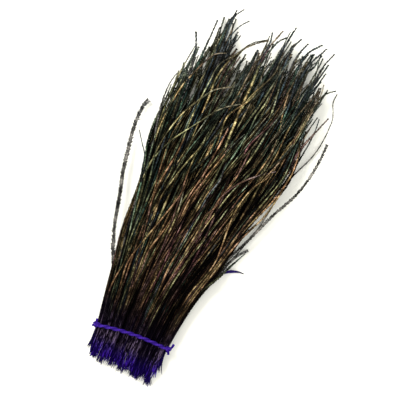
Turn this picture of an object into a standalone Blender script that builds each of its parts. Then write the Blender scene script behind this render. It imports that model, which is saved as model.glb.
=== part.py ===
"""Strung peacock herl: a fan of long herls, sewn side by side near their butts with a violet thread.

The bunch lies on a table. X runs across it, Y from the butts to the tips and Z up from the table, with the
origin under the middle of the bunch. The herls are massed into locks that lie in three layers. Inside the fan
a place is given by its share across, from -1 at the left edge to 1 at the right one, and by its Y. Lengths
here are millimetres, and become metres where a mesh is made.
"""

import math
import random

import bmesh
import bpy
from mathutils import Vector

MM = 0.001

# Along the bunch
STRING_Y = -99.5
BUTT_END_Y = -117.0
LONGEST_TIP_Y = 126.0
STATIONS_Y = (STRING_Y, -86.0, -66.0, -42.0, -16.0, 12.0, 40.0, 66.0, 90.0)
END_MARGIN = 9.0

# Across the bunch
STRING_HALF_WIDTH = 22.3
FAN_HALF_WIDTH = 48.0
FAN_LENGTH = 145.0
FAN_START_SLOPE = 0.8
STRING_MIDDLE_X = -10.3
FAN_MIDDLE_X = -1.0
LEAN_START_Y = -85.0
LEAN_LENGTH = 125.0

# The height of the mass along its middle, as pairs of Y and height
HEIGHTS = ((-126.0, 8.0), (STRING_Y, 10.5), (-85.0, 14.5), (-62.0, 17.0), (-25.0, 20.0), (25.0, 21.5),
           (65.0, 18.0), (105.0, 11.0), (126.0, 9.0))
EDGE_THINNING = 0.42
UNDERSIDE_RISE = 0.2
FLAT_SHARE = 0.5

# Where the tips reach, as pairs of share across and Y
TIP_REACH = ((-1.0, 72.0), (-0.83, 90.0), (-0.7, 111.0), (-0.5, 121.5), (-0.23, 103.0), (0.02, 111.0),
             (0.3, LONGEST_TIP_Y), (0.5, 115.0), (0.72, 121.0), (0.91, 118.0), (1.0, 97.0))
TIP_TAPER = 52.0
TIP_WIDTH_SHARE = 0.14
EDGE_TIP_BEND = 9.0

# Locks, from the lowest layer up: the columns in it, its share of the bunch's width, and how far its
# tips fall short of the reach at the least and at the most
LAYERS = ((17, 0.96, 4.0, 30.0), (16, 1.0, 0.0, 10.0), (15, 0.91, 5.0, 42.0))
LOCK_GAP = 0.4
WALL_WAVE = 0.16

# Stray herls
STRAY_RADIUS = 0.5
STRAY_GAP = 0.45
LOOSE_BUTT_RADIUS = 0.9

# Thread
THREAD_RADIUS = 1.1
THREAD_CLEARANCE = 0.35
THREAD_LIFT = 2.9
THREAD_LIFT_REACH = 30.0
RING_END = 3.2
RING_TOP_POINTS = 40
RING_END_POINTS = 9
LINK_SWELL = 0.22
KNOT_RADIUS = 2.0

HERL_TONES = {
    "herl_bronze": (0.060, 0.036, 0.018),
    "herl_olive": (0.045, 0.042, 0.018),
    "herl_green": (0.018, 0.045, 0.026),
    "herl_charcoal": (0.022, 0.022, 0.024),
}
DYED_BUTT_COLOUR = (0.022, 0.008, 0.085)
THREAD_COLOUR = (0.090, 0.028, 0.42)

random.seed(11)


def clear_scene():
    for item in list(bpy.data.objects):
        bpy.data.objects.remove(item, do_unlink=True)


def new_material(name, colour, roughness, metallic):
    material = bpy.data.materials.new(name)
    material.use_nodes = True
    shader = material.node_tree.nodes["Principled BSDF"]
    shader.inputs["Base Color"].default_value = (*colour, 1.0)
    shader.inputs["Roughness"].default_value = roughness
    shader.inputs["Metallic"].default_value = metallic
    material.diffuse_color = (*colour, 1.0)
    return material


def mix(low, high, share):
    return low + (high - low) * share


def clamped(share):
    return max(0.0, min(1.0, share))


def eased(share, start_slope=0.0):
    """A curve from 0 to 1 that starts at the given slope and ends level."""
    share = clamped(share)
    return share ** 3 * (start_slope - 2) + share ** 2 * (3 - 2 * start_slope) + start_slope * share


def read_along(pairs, place):
    """The second value of the pairs at a place among their first values, eased from one to the next."""
    for (low, low_value), (high, high_value) in zip(pairs, pairs[1:]):
        if place <= high:
            return mix(low_value, high_value, eased((place - low) / (high - low)))
    return pairs[-1][1]


def half_width(y):
    return mix(STRING_HALF_WIDTH, FAN_HALF_WIDTH, eased((y - STRING_Y) / FAN_LENGTH, FAN_START_SLOPE))


def across(share, y):
    """The X of a share across the bunch."""
    middle = mix(STRING_MIDDLE_X, FAN_MIDDLE_X, eased((y - LEAN_START_Y) / LEAN_LENGTH))
    return middle + share * half_width(y)


def lift(y):
    """How far the thread that runs underneath holds the bunch off the table."""
    return THREAD_LIFT * (1 - eased(abs(y - STRING_Y) / THREAD_LIFT_REACH))


def height(share, y, level):
    """The Z of a level in the mass, from 0 on its underside to 1 on its top."""
    full = read_along(HEIGHTS, y)
    edge = clamped((abs(share) - FLAT_SHARE) / (1 - FLAT_SHARE))
    low = lift(y) + UNDERSIDE_RISE * full * edge ** 1.2
    high = lift(y) + full * (1 - EDGE_THINNING * min(1.0, abs(share)) ** 2.5)
    return mix(low, high, level)


def wall_share(layer, column, y):
    """The share across of the wall on the left of a column, which wanders a little along the bunch."""
    columns, width_share, _, _ = LAYERS[layer]
    wander = 0.0
    if 0 < column < columns:
        phase = 2.4 * column + 1.7 * layer
        wander = WALL_WAVE * math.sin(y / 31.0 + phase) * clamped((y - STRING_Y) / 40.0)
    return width_share * (2 * (column + wander) / columns - 1)


def lock_point(layer, column, angle, y, size, drift):
    """A point on a lock's surface. Size is the share of its cell that the lock fills there."""
    left = wall_share(layer, column, y)
    right = wall_share(layer, column + 1, y)
    low = layer / len(LAYERS)
    high = (layer + 1) / len(LAYERS)
    cell_width = across(right, y) - across(left, y)
    cell_height = height((left + right) / 2, y, high) - height((left + right) / 2, y, low)
    side = math.cos(angle) * size * (1 - LOCK_GAP / cell_width)
    rise = math.sin(angle) / math.sin(math.radians(60)) * size * (1 - LOCK_GAP / cell_height)
    if layer == 0 and size == 1 and rise < -0.5:
        rise = -1.0
    side += drift * (1 - size)
    share = mix(left, right, (1 + side) / 2)
    outward = 0.0
    if y > 0 and column in (0, LAYERS[layer][0] - 1):
        outward = math.copysign(EDGE_TIP_BEND, column - 1) * (1 - size) ** 2
    return Vector((across(share, y) + outward, y, height(share, y, mix(low, high, (1 + rise) / 2))))


def lock_ends(layer, column):
    """The Y of a lock's butt and of its tip."""
    columns, width_share, least_short, most_short = LAYERS[layer]
    share = (2 * (column + 0.5) / columns - 1) * width_share
    butt_y = BUTT_END_Y + random.uniform(-2.5, 3.5) - 5.5 * math.exp(-((share - 0.7) / 0.3) ** 2)
    tip_y = read_along(TIP_REACH, share) - random.uniform(least_short, most_short)
    return butt_y, tip_y


def lock_stations(butt_y, tip_y):
    """Each station's Y along a lock, with how much of its cell the lock fills there."""
    inner = [y for y in STATIONS_Y if butt_y + END_MARGIN < y < tip_y - END_MARGIN]
    stations = [(butt_y, 0.35), (mix(butt_y, STRING_Y, 0.45), 0.9)]
    for y in inner:
        stations.append((y, mix(TIP_WIDTH_SHARE, 1.0, clamped((tip_y - y) / TIP_TAPER) ** 0.7)))
    stations.append((tip_y, TIP_WIDTH_SHARE))
    return stations


def new_object(name, data):
    item = bpy.data.objects.new(name, data)
    bpy.context.scene.collection.objects.link(item)
    return item


def make_lock(name, layer, column, material):
    """A prism of six sides, cut across at its stations and moved onto the lock's form."""
    stations = lock_stations(*lock_ends(layer, column))
    drift = random.uniform(-0.8, 0.8)
    last = len(stations) - 1
    shape = bmesh.new()
    bmesh.ops.create_cone(shape, cap_ends=True, segments=6, radius1=1, radius2=1, depth=1)
    long_edges = [edge for edge in shape.edges if abs(edge.verts[0].co.z - edge.verts[1].co.z) > 0.5]
    bmesh.ops.subdivide_edges(shape, edges=long_edges, cuts=last - 1, use_grid_fill=True)
    for vertex in shape.verts:
        station = round((vertex.co.z + 0.5) * last)
        y, size = stations[station]
        # The prism is turned so that a flat side of it lies down.
        angle = round(math.degrees(math.atan2(vertex.co.y, vertex.co.x)) / 60 - 0.5) * math.radians(60)
        vertex.co = lock_point(layer, column, angle, y, size, drift) * MM
    bmesh.ops.recalc_face_normals(shape, faces=shape.faces)
    mesh = bpy.data.meshes.new(name)
    shape.to_mesh(mesh)
    shape.free()
    mesh.materials.append(material)
    new_object(name, mesh)


def pick_tone(layer, share):
    """Green herls show most on the left and on top, bronze ones low and in the middle."""
    if layer == 2 and share < -0.35:
        return "herl_green"
    return random.choice(("herl_bronze", "herl_bronze", "herl_olive", "herl_charcoal"))


def make_locks(materials):
    number = 0
    for layer, (columns, _, _, _) in enumerate(LAYERS):
        for column in range(columns):
            number += 1
            tone = pick_tone(layer, 2 * (column + 0.5) / columns - 1)
            make_lock(f"herl_lock_{number:02d}", layer, column, materials[tone])


def smooth_curve(name, points, radii, cyclic=False, sides_level=0, resolution=4):
    """A filled tube along a smooth curve through the points, as a curve object."""
    curve = bpy.data.curves.new(name, "CURVE")
    curve.dimensions = "3D"
    curve.bevel_depth = MM
    curve.bevel_resolution = sides_level
    curve.resolution_u = resolution
    curve.use_fill_caps = not cyclic
    spline = curve.splines.new("BEZIER")
    spline.bezier_points.add(len(points) - 1)
    for bezier, point, radius in zip(spline.bezier_points, points, radii):
        bezier.co = Vector(point) * MM
        bezier.radius = radius
        bezier.handle_left_type = "AUTO"
        bezier.handle_right_type = "AUTO"
    spline.use_cyclic_u = cyclic
    return new_object(name, curve)


def edge_route(side, stack_z, leave_y):
    """The points of a herl that follows the edge of the mass from its butt until it leaves it."""
    points = []
    for y in (BUTT_END_Y, STRING_Y, -84.0, -66.0, -48.0, -30.0):
        if y > leave_y:
            break
        room = STRAY_RADIUS + STRAY_GAP * (1 + 3 * clamped((y - STRING_Y) / 30))
        points.append((across(side, y) + side * room, y, stack_z))
    return points


def make_stray(name, side, stack_z, leave_y, free_points, material):
    points = edge_route(side, stack_z, leave_y) + list(free_points)
    last = len(points) - 1
    radii = [STRAY_RADIUS * mix(1.0, 0.45, clamped(2 * number / last - 1)) for number in range(last + 1)]
    radii[0] = 0.5 * STRAY_RADIUS
    stray = smooth_curve(name, points, radii)
    stray.data.materials.append(material)


def make_strays(materials):
    make_stray("stray_herl_left", -1, 6.0, -60.0,
               ((-43.6, -48.7, 8.0), (-48.3, -33.6, 8.0), (-51.5, -18.2, 8.0), (-55.4, -2.9, 7.5),
                (-57.9, 12.5, 6.5), (-59.8, 28.0, 5.0), (-59.6, 36.0, 4.2), (-56.0, 42.6, 3.5)),
               materials["herl_olive"])
    make_stray("stray_herl_right_thick", 1, 7.4, -40.0,
               ((37.2, -14.0, 8.5), (43.9, 5.8, 9.0), (55.4, 29.3, 7.0), (59.4, 50.2, 4.5), (60.1, 62.9, 3.0)),
               materials["herl_bronze"])
    make_stray("stray_herl_right_long", 1, 6.0, -64.0,
               ((24.0, -50.0, 5.0), (31.4, -28.0, 3.6), (39.6, -2.0, 1.2), (46.0, 32.3, 1.0), (55.2, 55.4, 2.0),
                (57.4, 73.2, 2.2), (57.2, 80.0, 2.2), (53.2, 90.3, 2.0), (54.0, 95.6, 1.6)),
               materials["herl_olive"])
    make_stray("stray_herl_right_low", 1, 4.6, -60.0,
               ((27.2, -42.0, 2.9), (32.4, -29.0, 2.2), (38.6, -19.6, 1.0)),
               materials["herl_charcoal"])


def make_loose_butt(material):
    """The dyed butt of a loose herl, lying on the table with its inner end tucked under the mass."""
    points = ((22.5, -39.6, 1.0), (27.3, -38.0, 0.95), (34.0, -36.2, 0.9), (40.3, -34.2, 0.85))
    radii = [LOOSE_BUTT_RADIUS * share for share in (0.6, 1.0, 0.85, 0.35)]
    butt = smooth_curve("loose_herl_butt", points, radii, sides_level=1)
    butt.data.materials.append(material)


def ring_route():
    """The closed route of the thread: over the butts, round the right edge, back underneath, round the left."""
    low_z = THREAD_RADIUS * (1 + LINK_SWELL)
    points = []
    for step in range(RING_TOP_POINTS):
        share = mix(-1.0, 1.0, step / (RING_TOP_POINTS - 1))
        top_z = height(share, STRING_Y, 1.0) + THREAD_CLEARANCE + THREAD_RADIUS * (1 + LINK_SWELL)
        points.append((across(share, STRING_Y), STRING_Y, top_z))
    end_top_z = points[-1][2]
    end_middle_z = (end_top_z + low_z) / 2
    for step in range(1, RING_END_POINTS + 1):
        turn = math.pi / 2 - math.pi * step / (RING_END_POINTS + 1)
        points.append((across(1.0, STRING_Y) + RING_END * math.cos(turn), STRING_Y,
                       end_middle_z + (end_top_z - end_middle_z) * math.sin(turn)))
    for step in range(RING_TOP_POINTS):
        share = mix(1.0, -1.0, step / (RING_TOP_POINTS - 1))
        points.append((across(share, STRING_Y), STRING_Y, low_z))
    for step in range(1, RING_END_POINTS + 1):
        turn = -math.pi / 2 - math.pi * step / (RING_END_POINTS + 1)
        points.append((across(-1.0, STRING_Y) + RING_END * math.cos(turn), STRING_Y,
                       end_middle_z + (end_top_z - end_middle_z) * math.sin(turn)))
    return points


def as_mesh_object(name, curve_object):
    """A mesh object with the tube of a curve object, which is removed."""
    bpy.context.view_layer.update()
    graph = bpy.context.evaluated_depsgraph_get()
    mesh = bpy.data.meshes.new_from_object(curve_object.evaluated_get(graph))
    bpy.data.objects.remove(curve_object, do_unlink=True)
    shape = bmesh.new()
    shape.from_mesh(mesh)
    bmesh.ops.remove_doubles(shape, verts=shape.verts, dist=0.001 * MM)
    bmesh.ops.recalc_face_normals(shape, faces=shape.faces)
    shape.to_mesh(mesh)
    shape.free()
    return new_object(name, mesh)


def make_knot(name, place):
    shape = bmesh.new()
    bmesh.ops.create_icosphere(shape, subdivisions=2, radius=KNOT_RADIUS * MM)
    bmesh.ops.translate(shape, verts=shape.verts, vec=Vector(place) * MM)
    mesh = bpy.data.meshes.new(name)
    shape.to_mesh(mesh)
    shape.free()
    return new_object(name, mesh)


def join_to(body, extra):
    """Adds a helper's solid to the body with a union, and keeps the helper out of the finished part."""
    union = body.modifiers.new(extra.name, "BOOLEAN")
    union.operation = "UNION"
    union.object = extra
    extra.hide_render = True
    extra.display_type = "WIRE"


def make_thread(material):
    """One thread round the row of butts, swollen at each chain link, with a knot and short tails at each end."""
    points = ring_route()
    radii = [THREAD_RADIUS * (1 + LINK_SWELL * math.cos(math.pi * number)) for number in range(len(points))]
    ring = smooth_curve("ring", points, radii, cyclic=True, sides_level=1, resolution=1)
    thread = as_mesh_object("stitching_thread", ring)
    left = Vector(points[0]) + Vector((-2.2, 0.0, -0.6))
    right = Vector(points[RING_TOP_POINTS - 1]) + Vector((2.2, 0.0, -0.6))
    tails = (
        ("left_tail", left, Vector((-3.4, -1.2, -0.4))),
        ("left_loop", left, Vector((-1.4, 3.0, 0.3))),
        ("right_tail", right, Vector((4.2, 3.6, -0.3))),
        ("right_short_tail", right, Vector((1.6, -4.0, -0.6))),
    )
    join_to(thread, make_knot("left_knot", left))
    join_to(thread, make_knot("right_knot", right))
    for name, start, reach in tails:
        tail = smooth_curve(name, (start, start + reach * 0.5, start + reach), (0.85, 0.7, 0.3), resolution=2)
        join_to(thread, as_mesh_object(name, tail))
    thread.data.materials.append(material)


def main():
    clear_scene()
    materials = {name: new_material(name, colour, 0.45, 0.5) for name, colour in HERL_TONES.items()}
    make_locks(materials)
    make_strays(materials)
    make_loose_butt(new_material("dyed_butt", DYED_BUTT_COLOUR, 0.5, 0.0))
    make_thread(new_material("thread", THREAD_COLOUR, 0.6, 0.0))


main()
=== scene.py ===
"""The looks of a bunch of strung peacock herl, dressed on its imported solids.

Each herl is a mesh of its own: a slim core with a fringe of barbules along both sides, bent along a path in
the fan. The herls are joined by layer and region, and each joined piece stands for the locks that lie there.
The fan is measured as in the part's source: a place in it is a share across, from -1 at the left edge to 1 at
the right one, a level from 0 on the underside to 1 on top, and a Y along the bunch. Lengths are millimetres
until a mesh is made.
"""

import math

import bmesh
import bpy
import numpy as np
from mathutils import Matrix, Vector


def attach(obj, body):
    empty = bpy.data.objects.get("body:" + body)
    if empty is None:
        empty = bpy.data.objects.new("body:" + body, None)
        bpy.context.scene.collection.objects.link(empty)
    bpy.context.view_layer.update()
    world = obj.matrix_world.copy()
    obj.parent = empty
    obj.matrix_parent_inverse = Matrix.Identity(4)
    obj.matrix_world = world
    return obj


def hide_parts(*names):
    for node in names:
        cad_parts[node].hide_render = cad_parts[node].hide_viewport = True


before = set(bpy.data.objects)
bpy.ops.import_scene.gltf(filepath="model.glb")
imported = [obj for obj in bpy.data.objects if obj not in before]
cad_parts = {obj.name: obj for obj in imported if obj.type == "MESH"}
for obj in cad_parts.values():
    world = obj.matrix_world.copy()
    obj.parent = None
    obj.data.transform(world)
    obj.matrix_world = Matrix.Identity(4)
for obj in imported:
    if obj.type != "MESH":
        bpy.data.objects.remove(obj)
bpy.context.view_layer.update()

MM = 0.001
CHANCE = np.random.default_rng(41)

# The fan, as in the part's source
STRING_Y = -99.5
STRING_HALF_WIDTH = 22.3
FAN_HALF_WIDTH = 48.0
FAN_LENGTH = 145.0
FAN_START_SLOPE = 0.8
STRING_MIDDLE_X = -10.3
FAN_MIDDLE_X = -1.0
LEAN_START_Y = -85.0
LEAN_LENGTH = 125.0
HEIGHTS = ((-126.0, 8.0), (STRING_Y, 10.5), (-85.0, 14.5), (-62.0, 17.0), (-25.0, 20.0), (25.0, 21.5),
           (65.0, 18.0), (105.0, 11.0), (126.0, 9.0))
EDGE_THINNING = 0.42
UNDERSIDE_RISE = 0.2
FLAT_SHARE = 0.5
THREAD_LIFT = 2.9
THREAD_LIFT_REACH = 30.0
BASE_SWELL = 1.6
BASE_SWELL_REACH = 45.0
WAIST_Y = -8.0
WAIST_REACH = 36.0
WAIST_DEPTH = 3.4

# How far the herls reach that lie in no tuft, as pairs of share across and Y
TIP_REACH = ((-1.0, 70.0), (-0.83, 81.0), (-0.72, 87.0), (-0.54, 108.0), (-0.3, 94.0), (-0.1, 99.0),
             (0.08, 108.0), (0.3, 112.0), (0.48, 106.0), (0.72, 108.0), (0.9, 96.0), (1.0, 84.0))

# The tufts that the tips gather in: X and Y of each one's point, its lean to the right, its number of herls,
# and how the herls in it look, as a place among the herl colours and a strength of their painted glints
TUFTS = (
    (-47.2, 66.0, 1.0, 2, 0.60, 0.5), (-45.4, 75.0, -1.0, 3, 0.62, 0.6), (-43.0, 79.0, -1.2, 3, 0.66, 0.7),
    (-40.4, 89.0, -0.5, 4, 0.68, 0.6), (-36.8, 87.0, -0.5, 3, 0.62, 0.9), (-33.4, 92.5, 0.0, 3, 0.58, 0.9),
    (-30.4, 114.5, -0.6, 5, 0.55, 0.8), (-26.8, 118.0, 0.2, 6, 0.48, 0.7), (-23.0, 104.0, 1.0, 3, 0.48, 1.1),
    (-19.0, 108.0, 1.5, 3, 0.90, 0.5), (-15.0, 99.0, 2.0, 3, 0.32, 1.1), (-10.5, 97.0, 0.5, 3, 0.55, 0.8),
    (-8.9, 105.6, -1.0, 2, 0.70, 0.5), (-5.6, 103.0, -0.5, 3, 0.60, 0.5), (-2.2, 104.0, 1.5, 3, 0.48, 0.9),
    (1.2, 113.5, 1.2, 4, 0.42, 1.3), (5.0, 111.0, 3.5, 3, 0.72, 0.8), (8.6, 107.0, 2.5, 3, 0.46, 1.1),
    (11.2, 112.5, 3.0, 3, 0.86, 0.5), (13.0, 123.4, 1.8, 5, 0.68, 0.6), (17.6, 116.0, 3.0, 3, 0.38, 0.9),
    (22.0, 112.0, 3.5, 3, 0.48, 0.8), (26.0, 112.0, 2.0, 3, 0.34, 0.9), (30.6, 118.0, 5.5, 4, 0.80, 0.45),
    (35.2, 117.0, 5.5, 3, 0.74, 0.5), (34.0, 104.0, 1.5, 2, 0.48, 0.7), (40.4, 114.0, 4.0, 3, 0.84, 0.5),
    (39.0, 103.0, 2.0, 3, 0.68, 0.5), (42.4, 95.0, 1.5, 3, 0.34, 1.3), (43.0, 85.0, 1.0, 2, 0.28, 1.3),
    (41.2, 72.0, 0.5, 2, 0.24, 1.1),
)

# The points that the butts stick together in: the share across up to which each one gathers, then X and Y
TEETH = ((-0.95, -33.4, -115.6), (-0.66, -29.2, -120.4), (-0.47, -23.8, -122.2), (-0.36, -20.4, -118.8),
         (-0.2, -16.9, -121.4), (-0.06, -13.4, -118.6), (0.08, -9.8, -122.6), (0.22, -6.6, -120.4),
         (0.4, -1.6, -122.4), (0.56, 1.6, -123.2), (0.66, 4.9, -119.6), (0.85, 9.3, -124.6),
         (0.93, 14.2, -119.0), (9.9, 21.0, -118.7))

# Where the tips stand apart so that the table shows: X and Y of the middle, half the length, and the width
PARTINGS = ((32.4, 98.0, 17.0, 2.8), (4.6, 99.0, 9.0, 1.9), (-9.3, 89.0, 8.0, 2.2), (-19.6, 96.0, 8.0, 1.4),
            (22.4, 106.0, 9.0, 1.8), (38.6, 88.0, 10.0, 1.3), (14.6, 101.0, 8.0, 1.3),
            (-36.0, 82.0, 8.0, 1.2))
# The distance from the middle over which a parting's push fades
PARTING_FADE = 2.5

# The columns of locks in each layer, from the lowest layer up
LAYER_NAMES = ("low", "inner", "top")
LAYER_COLUMNS = (17, 16, 15)
TOP_LAYER = 2
REGION_NAMES = ("left", "middle", "right")
REGION_EDGES = (-1 / 3, 1 / 3)

# One herl: a flattened core, bare for a share of its length from the butt, then fringed on both sides
HERL_STATIONS = 56
CORE_SIDES = 4
CORE_FLATNESS = 0.55
CORE_HALF_WIDTH = 0.36
FRINGE_HALF_WIDTH = 0.92
BARE_SHARE = 0.1
BARBULES_A_SIDE = 260
BLANK_COUNT = 3
# It turns once about itself in a length between these two
TURN_LENGTHS = (45.0, 110.0)

# A barbule: half its root's width and its lean, in steps from one barbule to the next, where its root sits in
# half widths of the core, and its reach and rise in half widths of the fringe
BARBULE_HALF_ROOT = 1.1
BARBULE_LEAN = (1.0, 2.6)
BARBULE_ROOT_PLACE = 0.8
BARBULE_REACH = (0.62, 1.0)
BARBULE_RISE = 0.2

# The butts: how far they pass their tooth's point, how much shorter leaning ones are, and how many gather
TOOTH_OVERRUN = 1.8
TOOTH_SLOPE = 0.75
GATHERED_CHANCE = 0.7

# The mass: how many herls, where they lie and how they end
HERL_COUNT = 520
LAYER_CHANCES = (0.27, 0.28, 0.45)
LEFT_THINNING = 0.35
RIGHT_THINNING = 0.55
LEANING_CHANCE = 0.28
LOOSE_CHANCE = 0.28
NEAR_POINT_CHANCE = 0.38
POINT_LENGTH = 14.0
LEAN_RUN = 30.0
SPREAD_RUN = 16.0
SHARE_LIMIT = 1.0
LOWEST_Z = 0.45
TABLE_GAP = 0.05
# Each herl reaches its end share over the drift length, in waves of these lengths and sizes in shares across
DRIFT_LENGTH = 150.0
WAVES = ((150.0, 0.03), (75.0, 0.017), (42.0, 0.008))
# The top ones sweep to the right
SWAY = 8.5
SWAY_LENGTH = 78.0
# Places among the herl colours
MASS_TONE = 0.26
LEFT_TONE = 0.12
TONE_SPREAD = 0.13

# The herls placed on top: how high they lie over the mass, and how far they run on where others hide them
SEEN_LIFT = 1.0
HIDDEN_RUN = 33.0
SHORTEST_HIDDEN_RUN = 6.0


def mix(low, high, share):
    return low + (high - low) * share


def eased(share, start_slope=0.0):
    """A curve from 0 to 1 that starts at the given slope and ends level."""
    share = np.clip(share, 0.0, 1.0)
    return share ** 3 * (start_slope - 2) + share ** 2 * (3 - 2 * start_slope) + start_slope * share


def read_along(pairs, place):
    """The second values of the pairs at places among their first values, eased from one to the next."""
    places, values = np.array(pairs).T
    after = np.clip(np.searchsorted(places, place), 1, len(places) - 1)
    share = (place - places[after - 1]) / (places[after] - places[after - 1])
    return mix(values[after - 1], values[after], eased(share))


def half_width(y):
    return mix(STRING_HALF_WIDTH, FAN_HALF_WIDTH, eased((y - STRING_Y) / FAN_LENGTH, FAN_START_SLOPE))


def middle_x(y):
    return mix(STRING_MIDDLE_X, FAN_MIDDLE_X, eased((y - LEAN_START_Y) / LEAN_LENGTH))


def across(share, y):
    return middle_x(y) + share * half_width(y)


def edge_shift(share, y):
    """How far right of the fan's lines a herl lies: its sides swell at the string and thin at the waist."""
    swell = BASE_SWELL * (1 - eased((y - STRING_Y) / BASE_SWELL_REACH))
    waist = (WAIST_DEPTH + share) * (1 - eased(np.abs(y - WAIST_Y) / WAIST_REACH))
    return share * (swell - waist * np.abs(share) ** 3)


def share_at(x, y):
    return (x - middle_x(y)) / half_width(y)


def lift(y):
    return THREAD_LIFT * (1 - eased(np.abs(y - STRING_Y) / THREAD_LIFT_REACH))


def height(share, y, level):
    """The Z of a place in the fan."""
    full = read_along(HEIGHTS, y)
    edge = np.clip((np.abs(share) - FLAT_SHARE) / (1 - FLAT_SHARE), 0.0, 1.0)
    low = lift(y) + UNDERSIDE_RISE * full * edge ** 1.2
    high = lift(y) + full * (1 - EDGE_THINNING * np.minimum(1.0, np.abs(share)) ** 2.5)
    return mix(low, high, level)


class Blank:
    """A straight thing from 0 to 1 along its length, ready to be bent along a path.

    Each vertex has a place along, an offset (side, rise) in half widths of the core, and one in half widths
    of the fringe. Fringe faces are flat, core faces smooth.
    """

    def __init__(self, sides, cuts, flatness=1.0):
        shape = bmesh.new()
        bmesh.ops.create_cone(shape, cap_ends=True, segments=sides, radius1=1, radius2=1, depth=1)
        long_edges = [edge for edge in shape.edges if abs(edge.verts[0].co.z - edge.verts[1].co.z) > 0.5]
        bmesh.ops.subdivide_edges(shape, edges=long_edges, cuts=cuts, use_grid_fill=True)
        bmesh.ops.triangulate(shape, faces=shape.faces)
        bmesh.ops.recalc_face_normals(shape, faces=shape.faces)
        shape.verts.index_update()
        points = np.array([vertex.co[:] for vertex in shape.verts])
        self.faces = np.array([[vertex.index for vertex in face.verts] for face in shape.faces])
        shape.free()
        self.along = points[:, 2] + 0.5
        self.core = points[:, :2] * (1.0, flatness)
        self.fringe = np.zeros((len(points), 2))
        self.smooth = np.ones(len(self.faces), bool)

    def grow_fringe(self, barbules):
        """Adds the barbules: slim triangles in two rows, rooted on the core and leaning towards the tip."""
        rows = [self._barbule_row(side, barbules) for side in (-1.0, 1.0)]
        for along, core, fringe in rows:
            first = len(self.along)
            corners = np.arange(first, first + len(along)).reshape(-1, 3)
            self.along = np.concatenate([self.along, along])
            self.core = np.concatenate([self.core, core])
            self.fringe = np.concatenate([self.fringe, fringe])
            self.faces = np.concatenate([self.faces, corners])
            self.smooth = np.concatenate([self.smooth, np.zeros(len(corners), bool)])
        return self

    @staticmethod
    def _barbule_row(side, barbules):
        step = (1 - BARE_SHARE) / barbules
        root = BARE_SHARE + step * (np.arange(barbules) + CHANCE.uniform(0.0, 0.6, barbules))
        lean = CHANCE.uniform(*BARBULE_LEAN, barbules) * step
        reach = CHANCE.uniform(*BARBULE_REACH, barbules)
        rise = CHANCE.normal(0.0, BARBULE_RISE, barbules)
        half_root = side * BARBULE_HALF_ROOT * step
        along = np.stack([root + half_root, root - half_root, root + lean], 1)
        core = np.zeros((barbules, 3, 2))
        core[:, :2, 0] = side * BARBULE_ROOT_PLACE
        fringe = np.zeros((barbules, 3, 2))
        fringe[:, 2, 0] = side * reach
        fringe[:, 2, 1] = rise
        return np.clip(along, 0, 1).ravel(), core.reshape(-1, 2), fringe.reshape(-1, 2)


def smooth_path(points, stations):
    """Evenly numbered stations on a smooth curve through the given points."""
    points = np.asarray(points, float)
    steps = np.linalg.norm(np.diff(points, axis=0), axis=1)
    knots = np.concatenate([[0], np.cumsum(steps)])
    slopes = np.gradient(points, knots, axis=0)
    place = np.linspace(0, knots[-1], stations)
    span = np.clip(np.searchsorted(knots, place, side="right") - 1, 0, len(steps) - 1)
    share = ((place - knots[span]) / steps[span])[:, None]
    start, end = points[span], points[span + 1]
    start_slope, end_slope = slopes[span] * steps[span][:, None], slopes[span + 1] * steps[span][:, None]
    return (start * (2 * share ** 3 - 3 * share ** 2 + 1)
            + start_slope * (share ** 3 - 2 * share ** 2 + share)
            + end * (3 * share ** 2 - 2 * share ** 3)
            + end_slope * (share ** 3 - share ** 2))


def frames_along(path, turn):
    """Side and rise directions at each station of a path, turned about it by the given angles."""
    ahead = np.gradient(path, axis=0)
    ahead /= np.linalg.norm(ahead, axis=1)[:, None]
    side = np.cross(ahead, (0.0, 0.0, 1.0))
    side /= np.maximum(np.linalg.norm(side, axis=1), 1e-6)[:, None]
    rise = np.cross(side, ahead)
    cosine, sine = np.cos(turn)[:, None], np.sin(turn)[:, None]
    return side * cosine + rise * sine, rise * cosine - side * sine


def bend(blank, path, turn, core_width, fringe_width):
    """The blank's points after bending along a path. Widths and turns are given at the path's stations."""
    side, rise = frames_along(path, turn)
    place = blank.along * (len(path) - 1)
    low = np.minimum(place.astype(int), len(path) - 2)
    share = place - low

    def at(values):
        blend = share[:, None] if values.ndim == 2 else share
        return values[low] * (1 - blend) + values[low + 1] * blend

    offset = blank.core * at(core_width)[:, None] + blank.fringe * at(fringe_width)[:, None]
    points = at(path) + offset[:, :1] * at(side) + offset[:, 1:] * at(rise)
    points[:, 2] = np.maximum(points[:, 2], TABLE_GAP)
    return points


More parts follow.
